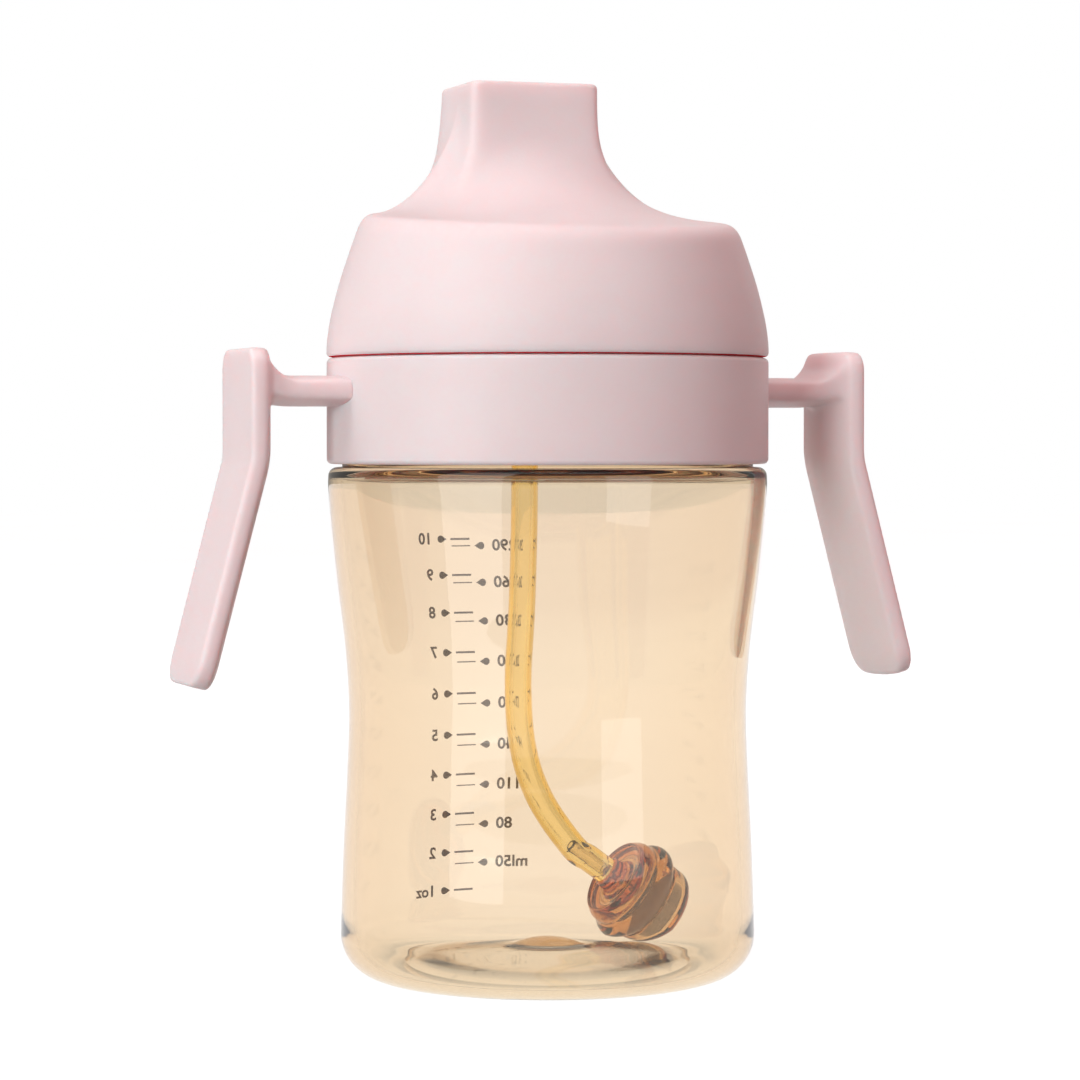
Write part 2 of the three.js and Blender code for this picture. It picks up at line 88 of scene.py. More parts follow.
BALL_AXIS = (middle("ball_core") - middle("ball_seal")).normalized()
SEAL_FROM_FLANGE = 1.45  # along the ball's axis
BALL_CENTRE = middle("ball_seal") - SEAL_FROM_FLANGE * BALL_AXIS

# ---------------------------------------------------------------- driving dimensions, mm

GAP = 0.3
WALL = 2.2
FACETS = 192
SMALL_FACETS = 96

# Outside radius and height of the bottle's side, from the hip over the waist to the shoulder.
BOTTLE_SIDE = [
    (37.5, 8.0), (37.4, 11.0), (37.0, 23.0), (36.3, 37.0), (35.95, 48.5),
    (36.6, 59.5), (38.0, 71.5), (39.1, 82.0), (39.6, 88.5), (39.6, 90.6),
]
FOOT_INNER = 26.0
FOOT_OUTER = 29.5
FOOT_CORNER = 8.0
SHOULDER_TOP = 92.2
SHOULDER_EDGE = 1.6
SHOULDER_WALL = 1.3
BEAD_RADIUS = 37.1
BEAD_TOP = 93.8
NECK_RADIUS = 35.6
NECK_BORE = 33.2

THREAD_PITCH = 4.5
THREAD_TURNS = 1.5
THREAD_START = 96.0

COLLAR_BOTTOM = 92.8
COLLAR_TOP = 111.8
COLLAR_BORE = 37.5
COLLAR_EDGE = 0.9

GRIP_BOTTOM = 54.4
GRIP_OUTER = 57.8
GRIP_TOP = 113.2
GRIP_BEND = 94.0
GRIP_LEAN = math.radians(14.8)
GRIP_WIDTH = 22.4
GRIP_EDGE = 2.9
GRIP_CROWN = 2.4
GRIP_TOP_CORNER = 3.5
GRIP_BOTTOM_CORNER = 4.5
ARM_HEIGHT = 106.0
ARM_EDGE = 3.2
ARM_WIDTH = 17.0
ARM_CROWN_UP = 0.9
ARM_CROWN_DOWN = 1.4

# Outside radius and height of the dust cap's dome.
DOME_SIDE = [
    (39.9, 112.9), (39.75, 115.2), (39.2, 118.8), (37.9, 124.2), (36.2, 129.6), (34.9, 133.3), (32.6, 139.6),
]
CAP_WALL = 2.0
RIM_RADIUS = 33.6
RIM_HEIGHT = 136.9
RIM_SLOPE = 0.09
RIM_CROWN = 0.06
RIM_FILLET = 2.6
# How square the sweep from the cover to the rim is: 2 is an ellipse, 1 a straight line.
SWEEP_FRONT = 3.0
SWEEP_SIDE = 1.75
SWEEP_BACK = 1.15
COVER_HALF_WIDTH = 12.3
COVER_FRONT = 5.9
COVER_BACK = 26.4
COVER_EDGE = 1.0
CAP_SLICES = 240
CAP_BOTTOM = 112.1
CAP_LIP = 38.9  # outer radius of the lip that closes the seam above the collar

STRAW_RADIUS = 2.5
STRAW_BORE = 1.25
# The straw's route: from its ferrule down to the waist, then curling to the ball's axis.
STRAW_ROUTE = [
    (0, 13.3, 98.7), (0, 13.2, 84.0), (-0.6, 12.8, 67.0), (-1.5, 12.4, 52.0), (-0.6, 12.0, 40.0),
    (2.7, 11.5, 30.6),
]
# Where the straw's end sits on the ball's stem.
STRAW_END = -7.75  # along the ball's axis, from its flange


# ---------------------------------------------------------------- mesh helpers

def arc(centre_radius, centre_height, radius, start, end, steps):
    """Profile points of an arc, with angles in degrees from the outward direction."""
    points = []
    for i in range(steps + 1):
        angle = math.radians(start + (end - start) * i / steps)
        points.append((centre_radius + radius * math.cos(angle), centre_height + radius * math.sin(angle)))
    return points


def through(points, steps):
    """Points of a smooth curve through the given ones, with so many steps to each span."""
    knots = [Vector(point) for point in points]
    knots = [2 * knots[0] - knots[1]] + knots + [2 * knots[-1] - knots[-2]]
    curve = []
    for a, b, c, d in zip(knots, knots[1:], knots[2:], knots[3:]):
        for i in range(steps):
            t = i / steps
            curve.append(0.5 * (2 * b + (c - a) * t + (2 * a - 5 * b + 4 * c - d) * t * t
                                + (3 * b - a - 3 * c + d) * t ** 3))
    curve.append(knots[-2])
    return [tuple(point) for point in curve]


def rounded(corners, radius, steps=4):
    """A closed profile with its corners rounded, by at most the radius each."""
    points = []
    count = len(corners)
    for i in range(count):
        corner = Vector(corners[i])
        before = Vector(corners[i - 1]) - corner
        after = Vector(corners[(i + 1) % count]) - corner
        reach = min(radius, 0.45 * before.length, 0.45 * after.length)
        start = corner + before.normalized() * reach
        end = corner + after.normalized() * reach
        for k in range(steps + 1):
            t = k / steps
            points.append(tuple((1 - t) ** 2 * start + 2 * t * (1 - t) * corner + t * t * end))
    return points


def new_piece(name, mesh_maker, transform=None):
    """A piece from a function that fills a bmesh in millimetres."""
    bm = bmesh.new()
    mesh_maker(bm)
    bmesh.ops.remove_doubles(bm, verts=bm.verts, dist=0.0005)
    bmesh.ops.recalc_face_normals(bm, faces=bm.faces)
    bm.transform(Matrix.Scale(MM, 4) @ (transform or Matrix.Identity(4)))
    mesh = bpy.data.meshes.new(name)
    bm.to_mesh(mesh)
    bm.free()
    piece = bpy.data.objects.new(name, mesh)
    bpy.context.scene.collection.objects.link(piece)
    return piece


def skin(bm, rings, loop=False, ends=True):
    """Faces over rings of equally many points. A loop's last ring joins its first."""
    rows = [[bm.verts.new(point) for point in ring] for ring in rings]
    count = len(rows[0])
    pairs = list(zip(rows, rows[1:]))
    if loop:
        pairs.append((rows[-1], rows[0]))
    for upper, lower in pairs:
        for i in range(count):
            k = (i + 1) % count
            bm.faces.new((upper[i], upper[k], lower[k], lower[i]))
    if ends and not loop:
        for row in (rows[0], rows[-1]):
            centre = bm.verts.new(sum((vertex.co for vertex in row), Vector()) / count)
            for i in range(count):
                bm.faces.new((row[i], row[(i + 1) % count], centre))


def circle(radius, height, facets, centre=Vector()):
    """A level ring of points."""
    return [
        centre + Vector((radius * math.cos(turn), radius * math.sin(turn), height))
        for turn in (2 * math.pi * i / facets for i in range(facets))
    ]


def turn(bm, profile, loop=True, facets=FACETS, centre=Vector()):
    """Turns a profile of (radius, height) about +Z. Without a loop it starts and ends on the axis."""
    skin(bm, [circle(radius, height, facets, centre) for radius, height in profile], loop, ends=False)


def turned(name, profile, loop=True, facets=FACETS, centre=Vector(), transform=None):
    """A turned piece of its own."""
    return new_piece(name, lambda bm: turn(bm, profile, loop, facets, centre), transform)


def shade(piece, angle=32):
    """Smooth shading that keeps edges sharper than the angle crisp."""
    for polygon in piece.data.polygons:
        polygon.use_smooth = True
    piece.data.set_sharp_from_angle(angle=math.radians(angle))
    return piece


def apply_modifiers(piece):
    """Makes a piece's modifiers part of its mesh."""
    bpy.context.view_layer.update()
    depsgraph = bpy.context.evaluated_depsgraph_get()
    mesh = bpy.data.meshes.new_from_object(piece.evaluated_get(depsgraph))
    piece.modifiers.clear()
    piece.data = mesh
    return piece


def united(piece, *others):
    """The union of a piece and others, which go."""
    for other in others:
        union = piece.modifiers.new("union", "BOOLEAN")
        union.operation = "UNION"
        union.solver = "EXACT"
        union.object = other
    apply_modifiers(piece)
    for other in others:
        bpy.data.objects.remove(other)
    return piece


def cut_by(piece, *tools):
    """A piece with the tools' volumes taken away. The tools go."""
    for tool in tools:
        difference = piece.modifiers.new("cut", "BOOLEAN")
        difference.operation = "DIFFERENCE"
        difference.solver = "EXACT"
        difference.object = tool
    apply_modifiers(piece)
    for tool in tools:
        bpy.data.objects.remove(tool)
    return piece


# ---------------------------------------------------------------- materials

FLOOR_GLOW = 0.87  # where it is seen
FLOOR_FILL = 0.02  # where it lights the cup

KEY_COLOUR = (0.79, 1.0, 1.0)
FILL_COLOUR = (1.0, 0.62, 0.61, 1)
FILL_STRENGTH = 0.58
MIRRORED_COLOUR = (1.0, 0.94, 0.86, 1)
MIRRORED_STRENGTH = 0.35
SEEN_THROUGH_PLASTIC = 0.87  # how bright the surroundings are there
SEEN_DIRECTLY = 1.0


def new_material(name):
    """A node material with only its shader: (material, nodes, links, shader)."""
    material = bpy.data.materials.new(name)
    material.use_nodes = True
    tree = material.node_tree
    return material, tree.nodes, tree.links, tree.nodes["Principled BSDF"]


def grain(nodes, links, scale, detail=3.0, stretch=(1, 1, 1)):
    """A noise texture in the object's own space, in features to the metre."""
    place = nodes.new("ShaderNodeTexCoord")
    size = nodes.new("ShaderNodeMapping")
    size.inputs["Scale"].default_value = stretch
    noise = nodes.new("ShaderNodeTexNoise")
    noise.inputs["Scale"].default_value = scale
    noise.inputs["Detail"].default_value = detail
    links.new(place.outputs["Object"], size.inputs["Vector"])
    links.new(size.outputs["Vector"], noise.inputs["Vector"])
    return noise


def bump(nodes, links, shader, height, strength, distance):
    """Raises the shader's surface by a texture."""
    node = nodes.new("ShaderNodeBump")
    node.inputs["Strength"].default_value = strength
    node.inputs["Distance"].default_value = distance
    links.new(height, node.inputs["Height"])
    links.new(node.outputs["Normal"], shader.inputs["Normal"])


def between(nodes, links, value, bottom, top):
    """A texture's value moved into a range."""
    node = nodes.new("ShaderNodeMapRange")
    node.inputs["From Min"].default_value = 0.3
    node.inputs["From Max"].default_value = 0.7
    node.inputs["To Min"].default_value = bottom
    node.inputs["To Max"].default_value = top
    links.new(value, node.inputs["Value"])
    return node.outputs["Result"]


def two_tone(nodes, links, value, first, second):
    """A colour between two, by a texture's value."""
    ramp = nodes.new("ShaderNodeValToRGB")
    ramp.color_ramp.elements[0].position = 0.3
    ramp.color_ramp.elements[0].color = (*first, 1)
    ramp.color_ramp.elements[1].position = 0.7
    ramp.color_ramp.elements[1].color = (*second, 1)
    links.new(value, ramp.inputs["Fac"])
    return ramp.outputs["Color"]


def satin_plastic(name, first, second, subsurface, specular=0.3):
    """Moulded plastic with a fine satin grain."""
    material, nodes, links, shader = new_material(name)
    mottle = grain(nodes, links, 60, 2)
    satin = grain(nodes, links, 2600, 4)
    links.new(two_tone(nodes, links, mottle.outputs["Fac"], first, second), shader.inputs["Base Color"])
    links.new(between(nodes, links, satin.outputs["Fac"], 0.40, 0.52), shader.inputs["Roughness"])
    shader.inputs["Subsurface Weight"].default_value = subsurface
    shader.inputs["Subsurface Radius"].default_value = (1.0, 0.28, 0.25)
    shader.inputs["Subsurface Scale"].default_value = 0.005
    shader.inputs["Specular IOR Level"].default_value = specular
    bump(nodes, links, shader, satin.outputs["Fac"], 0.22, 0.00006)
    return material


def clear_plastic(name, density, colour, ior, roughness, ripple=0.0):
    """Clear plastic that swallows light by its depth: density to the metre, colour let through."""
    material, nodes, links, shader = new_material(name)
    shader.inputs["Base Color"].default_value = (1, 1, 1, 1)
    shader.inputs["Transmission Weight"].default_value = 1
    shader.inputs["IOR"].default_value = ior
    smear = grain(nodes, links, 120, 3)
    links.new(between(nodes, links, smear.outputs["Fac"], roughness[0], roughness[1]),
              shader.inputs["Roughness"])
    if ripple:
        flow = grain(nodes, links, 28, 1, (1, 1, 0.35))
        bump(nodes, links, shader, flow.outputs["Fac"], 1.0, ripple)
    absorption = nodes.new("ShaderNodeVolumeAbsorption")
    absorption.inputs["Color"].default_value = (*colour, 1)
    absorption.inputs["Density"].default_value = density
    links.new(absorption.outputs["Volume"], nodes["Material Output"].inputs["Volume"])
    return material


def silicone(name):
    """Milky silicone, soft and slightly see-through."""
    material, nodes, links, shader = new_material(name)
    cloud = grain(nodes, links, 90, 2)
    links.new(two_tone(nodes, links, cloud.outputs["Fac"], (0.86, 0.84, 0.80), (0.90, 0.89, 0.86)),
              shader.inputs["Base Color"])
    links.new(between(nodes, links, cloud.outputs["Fac"], 0.36, 0.46), shader.inputs["Roughness"])
    shader.inputs["Transmission Weight"].default_value = 0.45
    shader.inputs["IOR"].default_value = 1.41
    shader.inputs["Subsurface Weight"].default_value = 0.4
    shader.inputs["Subsurface Radius"].default_value = (1.0, 0.9, 0.8)
    shader.inputs["Subsurface Scale"].default_value = 0.003
    fine = grain(nodes, links, 1800, 3)
    bump(nodes, links, shader, fine.outputs["Fac"], 0.15, 0.00005)
    return material


def turned_steel(name):
    """Turned stainless steel with fine tool marks."""
    material, nodes, links, shader = new_material(name)
    marks = grain(nodes, links, 1500, 4)
    links.new(two_tone(nodes, links, marks.outputs["Fac"], (0.25, 0.24, 0.24), (0.34, 0.33, 0.33)),
              shader.inputs["Base Color"])
    links.new(between(nodes, links, marks.outputs["Fac"], 0.16, 0.28), shader.inputs["Roughness"])
    shader.inputs["Metallic"].default_value = 1
    bump(nodes, links, shader, marks.outputs["Fac"], 0.1, 0.00002)
    return material


def ink(name):
    """Dark brown screen-printing ink, slightly uneven."""
    material, nodes, links, shader = new_material(name)
    patch = grain(nodes, links, 900, 3)
    links.new(two_tone(nodes, links, patch.outputs["Fac"], (0.035, 0.014, 0.006), (0.055, 0.024, 0.010)),
              shader.inputs["Base Color"])
    links.new(between(nodes, links, patch.outputs["Fac"], 0.45, 0.6), shader.inputs["Roughness"])
    bump(nodes, links, shader, patch.outputs["Fac"], 0.2, 0.00002)
    return material


def pale_floor(name):
    """A plain pale studio floor, glowing where it is seen and only dimly lighting what stands on it."""
    material, nodes, links, shader = new_material(name)
    paper = grain(nodes, links, 6, 2)
    links.new(two_tone(nodes, links, paper.outputs["Fac"], (0.19, 0.19, 0.19), (0.21, 0.21, 0.21)),
              shader.inputs["Base Color"])
    links.new(between(nodes, links, paper.outputs["Fac"], 0.75, 0.85), shader.inputs["Roughness"])
    shader.inputs["Specular IOR Level"].default_value = 0.0
    shader.inputs["Emission Color"].default_value = (1, 1, 1, 1)
    path = nodes.new("ShaderNodeLightPath")
    glow = nodes.new("ShaderNodeMapRange")
    glow.inputs["To Min"].default_value = FLOOR_GLOW
    glow.inputs["To Max"].default_value = FLOOR_FILL
    links.new(path.outputs["Is Diffuse Ray"], glow.inputs["Value"])
    links.new(glow.outputs["Result"], shader.inputs["Emission Strength"])
    return material


PINK = satin_plastic("pink_satin", (0.770, 0.622, 0.632), (0.790, 0.645, 0.655), 0.5)
# Painted shade: a deep red that stands in for the shadowed gap between the dust cap and the collar; the
# plastic there is the same pink.
SEAM_SHADE = satin_plastic("pink_seam_shade", (0.72, 0.05, 0.06), (0.78, 0.06, 0.07), 0.4, 0.0)
BOTTLE = clear_plastic("bottle_amber", 172.0, (0.80, 0.53, 0.09), 1.55, (0.0, 0.03), 0.00004)
STRAW = clear_plastic("straw_amber", 430.0, (0.975, 0.78, 0.05), 1.42, (0.0, 0.02))
BALL = clear_plastic("ball_amber", 420.0, (0.88, 0.56, 0.03), 1.60, (0.0, 0.02))
SILICONE = silicone("clear_silicone")
STEEL = turned_steel("turned_steel")
INK = ink("print_ink")


def finish(piece, body, slot, material, *nodes):
    """Gives a piece its material and body, and hides the CAD nodes that it stands for. The slot is not used.
    """
    piece.data.materials.append(material)
    if body:
        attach(piece, body)
    if nodes:
        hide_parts(*nodes)
    return piece


# ---------------------------------------------------------------- threads

def thread(bm, root_radius, crest_radius, start_height, start_turn):
    """A screw thread's ridge, standing on a wall and running out at both ends."""
    stations = int(THREAD_TURNS * FACETS)
    bury = 0.4 if root_radius > crest_radius else -0.4
    run_out = 10
    section = [(0.0, -0.85), (1.0, -0.40), (1.0, 0.40), (0.0, 0.85)]
    rings = []
    for i in range(stations + 1):
        turn_now = start_turn + THREAD_TURNS * i / stations
        rise = min(1.0, (i + 0.5) / run_out, (stations - i + 0.5) / run_out)
        base = root_radius + bury
        ring = []
        for share, height in section:
            reach = base + (crest_radius - base) * share * rise
            level = start_height + THREAD_PITCH * (turn_now - start_turn) + height
            angle = 2 * math.pi * turn_now
            ring.append(Vector((reach * math.cos(angle), reach * math.sin(angle), level)))
        rings.append(ring)
    skin(bm, rings)


# ---------------------------------------------------------------- bottle

SIDE_CURVE = through(BOTTLE_SIDE, 8)


def bottle_radius(height):
    """The bottle's outside radius at a height."""
    for (r0, z0), (r1, z1) in zip(SIDE_CURVE, SIDE_CURVE[1:]):
        if z0 <= height <= z1:
            return r0 + (r1 - r0) * (height - z0) / (z1 - z0)
    return SIDE_CURVE[-1][0]


def bottle():
    """The blown bottle: domed floor with a lens in its middle, waisted side, shoulder and neck."""
    underside = through([(0, 3.6), (5, 2.95), (10, 2.7), (19, 1.2), (FOOT_INNER - 1.5, 0.35)], 5)
    foot = arc(FOOT_INNER, 0.6, 0.6, 240, 270, 3)
    corner = arc(FOOT_OUTER, FOOT_CORNER, FOOT_CORNER, -90, -4, 14)
    shoulder = arc(39.6 - SHOULDER_EDGE, SHOULDER_TOP - SHOULDER_EDGE, SHOULDER_EDGE, 0, 88, 8)
    neck = [
        *arc(BEAD_RADIUS + 0.25, SHOULDER_TOP + 0.25, 0.25, 270, 180, 3),
        *arc(BEAD_RADIUS - 0.5, BEAD_TOP - 0.5, 0.5, 0, 90, 4),
        *arc(NECK_RADIUS + 0.4, BEAD_TOP + 0.4, 0.4, 270, 180, 3),
        *arc(NECK_RADIUS - 0.7, MOUTH - 0.7, 0.7, 0, 90, 5),
        *arc(NECK_BORE + 0.7, MOUTH - 0.7, 0.7, 90, 180, 5),
    ]
    inner_top = SHOULDER_TOP - SHOULDER_WALL
    inner_shoulder = [
        *arc(NECK_BORE + 0.6, inner_top + 0.6, 0.6, 180, 270, 4),
        *arc(39.6 - WALL - 1.0, inner_top - 1.0, 1.0, 90, 4, 6),
    ]
    inside = [(r - WALL, z) for r, z in reversed(SIDE_CURVE) if 10.5 < z < 89]
    inner_corner = arc(28.7, 8.25, 6.5, -8, -90, 12)
    floor = through([(24, 2.65), (19, 3.7), (12, 4.85), (7.4, 5.3)], 5)
    lens = arc(0, 5.35 - 9.45, 11.25, 57, 90, 10)
    profile = [*underside, *foot, *corner, *SIDE_CURVE[1:], *shoulder[1:], *neck, *inner_shoulder, *inside,
               *inner_corner, *floor, *lens]
    piece = turned("bottle", profile, loop=False)
    ridge = new_piece("neck_thread", lambda bm: thread(bm, NECK_RADIUS, 36.9, THREAD_START, 0))
    united(piece, ridge)
    piece.visible_shadow = False
    return finish(shade(piece), "bottle", "bottle", BOTTLE, "bottle_body")


# ---------------------------------------------------------------- printed scale

SCALE_AT = math.radians(97.6)  # direction of its middle from the axis
PRINT_LIFT = 0.02
PRINT_DEPTH = 0.04
OUNCE = 29.57  # millilitres
FIRST_OUNCE_AT = 11.6
SCALE_WALL = 1.2
FILL_STEP = 0.02
MILLILITRES = (50, 80, 110, 140, 170, 200, 230, 260, 290)
DROP_LENGTH = 2.1
DROP_RADIUS = 0.7
NUMBER_SIZE = 3.0
NUMBER_STRETCH = 1.12
NUMBER_WEIGHT = 0.075


def wrapped(piece):
    """Lays a flat print, with x to the right and z up as read from outside, on the bottle's side."""
    for vertex in piece.data.vertices:
        x, depth, z = vertex.co / MM
        radius = bottle_radius(z) + PRINT_LIFT + depth
        angle = SCALE_AT + x / bottle_radius(z)
        vertex.co = Vector((radius * math.cos(angle), radius * math.sin(angle), z)) * MM


def outline(bm, points):
    """A flat shape with the print's depth, from its outline."""
    front = [bm.verts.new((x, 0, z)) for x, z in points]
    back = [bm.verts.new((x, PRINT_DEPTH, z)) for x, z in points]
    bm.faces.new(front)
    bm.faces.new(list(reversed(back)))
    count = len(points)
    for i in range(count):
        k = (i + 1) % count
        bm.faces.new((front[k], front[i], back[i], back[k]))


def dash(bm, left, right, height, thickness):
    """A level line of the scale, in short lengths so that it follows the round wall."""
    steps = 8
    for i in range(steps):
        x0 = left + (right - left) * i / steps
        x1 = left + (right - left) * (i + 1) / steps
        half = thickness / 2
        outline(bm, [(x0, height - half), (x1, height - half), (x1, height + half), (x0, height + half)])


def teardrop(bm, x, height, direction):
    """A drop with its round end at x and its point towards the dashes."""
    points = [(x - direction * DROP_LENGTH, height)]
    for i in range(19):
        angle = math.radians(-115 + 230 * i / 18)
        points.append((x + direction * (DROP_RADIUS * math.cos(angle) - DROP_RADIUS),
                       height + DROP_RADIUS * math.sin(angle)))
    outline(bm, points if direction > 0 else list(reversed(points)))


def label(text, x, height, align):
    """A number of the scale, as flat geometry that stands up and is read from outside."""
    curve = bpy.data.curves.new("label", "FONT")
    curve.body = text
    curve.size = NUMBER_SIZE * MM
    curve.offset = NUMBER_WEIGHT * MM
    curve.align_x = align
    curve.align_y = "CENTER"
    curve.extrude = PRINT_DEPTH * MM / 2
    curve.resolution_u = 3
    text_object = bpy.data.objects.new("label", curve)
    bpy.context.scene.collection.objects.link(text_object)
    bpy.context.view_layer.update()
    depsgraph = bpy.context.evaluated_depsgraph_get()
    mesh = bpy.data.meshes.new_from_object(text_object.evaluated_get(depsgraph))
    bpy.data.objects.remove(text_object)
    upright = Matrix.Rotation(math.radians(-90), 4, "X") @ Matrix.Scale(-1, 4, (0, 1, 0))
    upright = Matrix.Scale(NUMBER_STRETCH, 4, (1, 0, 0)) @ upright
    mesh.transform(Matrix.Translation((x * MM, PRINT_DEPTH * MM / 2, height * MM)) @ upright)
    return mesh


def printed_scale():
    """Two scales back to back: ounces on the right as read from outside, millilitres on the left."""
    piece = new_piece("printed_scale", draw_marks)
    bm = bmesh.new()
    bm.from_mesh(piece.data)
    for ounce in range(1, 11):
        text = f"{ounce}oz" if ounce == 1 else str(ounce)
        bm.from_mesh(label(text, 6.6, fill_height(ounce * OUNCE), "LEFT"))
    for amount in MILLILITRES:
        text = f"ml{amount}" if amount == 50 else str(amount)
        bm.from_mesh(label(text, -6.7, fill_height(amount), "RIGHT"))
    bm.to_mesh(piece.data)
    bm.free()
    wrapped(piece)
    return finish(piece, "bottle", None, INK)


def fill_height(amount):
    """The height that so many millilitres reach, counted up from the first ounce's mark."""
    height = FIRST_OUNCE_AT
    filled = OUNCE
    while filled < amount:
        radius = bottle_radius(height) - SCALE_WALL
        filled += math.pi * radius * radius * FILL_STEP / 1000
        height += FILL_STEP
    return height


def draw_marks(bm):
    """The dashes and drops of both scales."""
    for ounce in range(1, 11):
        level = fill_height(ounce * OUNCE)
        dash(bm, -2.0, 2.2, level, 0.38)
        teardrop(bm, 5.2, level, 1)
    for amount in MILLILITRES:
        level = fill_height(amount)
        dash(bm, -2.1, 2.0, level, 0.22)
        teardrop(bm, -5.1, level, -1)


# ---------------------------------------------------------------- collar and handles

def grip_section(scale):
    """The grip's outline in plan: flat outside, rounded edges and a crowned inner face."""
    half = GRIP_WIDTH / 2 * scale
    corners = [(0.0, -half), (0.0, half)]
    steps = 16
    for i in range(steps + 1):
        side = 1 - 2 * i / steps
        corners.append((-GRIP_EDGE - GRIP_CROWN * scale * (1 - side * side), half * side))
    return rounded(corners, 0.8, 3)


def rounded_end(end, inward, corner):
    """Heights and shares of the full width where the grip's corners round off at one end."""
    half = GRIP_WIDTH / 2
    stations = []
    for k in range(9):
        angle = math.pi / 2 * k / 8
        height = end + inward * corner * (1 - math.cos(angle))
        stations.append((height, (half - corner + corner * math.sin(angle)) / half))
    return stations


def grip(bm):
    """The grip, from its lower end to its top."""
    stations = [
        *rounded_end(GRIP_BOTTOM, 1, GRIP_BOTTOM_CORNER),
        *[(height, 1.0) for height in (64.0, 70.0, 78.0, 86.0, 91.0, 93.0, 95.0, 97.0, 102.0, 107.0)],
        *reversed(rounded_end(GRIP_TOP, -1, GRIP_TOP_CORNER)),
    ]
    rings = []
    for height, scale in stations:
        below = max(0.0, GRIP_BEND - height)
        share = min(1.0, max(0.0, (GRIP_BEND + 3 - height) / 6))
        tilt = GRIP_LEAN * share * share * (3 - 2 * share)
        outer = GRIP_OUTER + below * math.tan(GRIP_LEAN)
        rings.append([
            Vector((outer + depth * math.cos(tilt), y, height + depth * math.sin(tilt)))
            for depth, y in grip_section(scale)
        ])
    skin(bm, rings)


def arm_section(x, half, above, below, crown):
    """The arm's outline across its length, with its edges so far above and below its middle."""
    steps = 16
    corners = []
    for i in range(steps + 1):
        side = -1 + 2 * i / steps
        corners.append((half * side, ARM_HEIGHT + above + ARM_CROWN_UP * crown * (1 - side * side)))
    for i in range(steps + 1):
        side = 1 - 2 * i / steps
        corners.append((half * side, ARM_HEIGHT - below - ARM_CROWN_DOWN * crown * (1 - side * side)))
    return [Vector((x, y, z)) for y, z in rounded(corners, 0.8, 3)]


def arm(bm):
    """The arm from the collar, with its top sweeping up to the top of the grip."""
    inner_face = GRIP_OUTER - GRIP_EDGE
    half = ARM_WIDTH / 2
    edge = ARM_EDGE / 2
    stations = through([
        (38.6, half, edge, edge, 1.0), (45.0, half, edge, edge, 1.0), (49.0, half, edge, edge, 1.0),
        (51.0, half + 0.3, 2.1, 1.4, 1.0), (52.8, half + 0.8, 3.4, 1.2, 1.0),
        (54.2, half + 1.3, 5.0, 1.5, 0.8),
        (inner_face + 0.8, half + 1.8, 6.6, 2.8, 0.5),
    ], 4)
    skin(bm, [arm_section(*station) for station in stations])


def handle(side):
    """One handle, moulded as one with smooth hollows where the arm meets the grip."""
    transform = Matrix.Rotation(0 if side > 0 else math.pi, 4, "Z")
    piece = new_piece("grip", grip, transform)
    united(piece, new_piece("arm", arm, transform))
    remesh = piece.modifiers.new("remesh", "REMESH")
    remesh.mode = "VOXEL"
    remesh.voxel_size = 0.45 * MM
    smooth = piece.modifiers.new("smooth", "SMOOTH")
    smooth.factor = 0.6
    smooth.iterations = 9
    return apply_modifiers(piece)


def handle_collar():
    """The screw collar with its inner flange, its thread and the two handles."""
    top, bottom, edge = COLLAR_TOP, COLLAR_BOTTOM, COLLAR_EDGE
    profile = [
        *arc(COLLAR_BORE + 0.3, bottom + 0.3, 0.3, 180, 270, 3),
        *arc(COLLAR_RADIUS - edge, bottom + edge, edge, -90, 0, 8),
        *arc(COLLAR_RADIUS - edge, top - edge, edge, 0, 90, 8),
        (33.3, top), (33.0, top - 0.3),
        (33.0, top - 2.2), (COLLAR_BORE, top - 2.2),
    ]
    piece = turned("handle_collar", profile)
    quarter = 0.25
    ridge = new_piece("collar_thread", lambda bm: thread(
        bm, COLLAR_BORE, 36.3, THREAD_START + THREAD_PITCH * (quarter - 0.5), quarter))
    united(piece, ridge, handle(1), handle(-1))
    return finish(shade(piece, 40), "head", "pink_shell", PINK, "handle_collar")


# ---------------------------------------------------------------- lid and its soft parts

def lid():
    """The lid: a plate with a plug that centres it in the neck, and holes for the spout and the vent."""
    profile = [
        (0, LID_BOTTOM), *arc(31.2 - 0.4, LID_BOTTOM - 0.4, 0.4, 90, 0, 3), (31.2, 102.3), (31.5, 102.0),
        (32.5, 102.0), (32.8, 102.3), *arc(33.1, LID_BOTTOM - 0.3, 0.3, 180, 90, 3),
        *arc(36.8, LID_BOTTOM + 0.3, 0.3, -90, 0, 3), *arc(36.6, LID_TOP - 0.5, 0.5, 0, 90, 4),
        (30.9, LID_TOP), *arc(30.2, LID_TOP - 0.3, 0.3, 60, 120, 3), (29.0, LID_TOP), (0, LID_TOP),
    ]
    piece = turned("lid", profile, loop=False)
    drills = [
        turned("drill", [(0, 90), (radius, 90), (radius, 120), (0, 120)], False, SMALL_FACETS, at)
        for radius, at in ((9.0, SPOUT_AT), (1.5, VENT_AT))
    ]
    cut_by(piece, *drills)
    return finish(shade(piece), "head", "pink_shell", PINK, "lid")


def gasket():
    """The flat ring that seals the lid on the bottle's mouth."""
    piece = turned("lid_gasket", rounded([(33.5, 104.9), (36.8, 104.9), (36.8, 106.7), (33.5, 106.7)], 0.5))
    return finish(shade(piece), "seal", "clear_silicone", SILICONE, "lid_gasket")


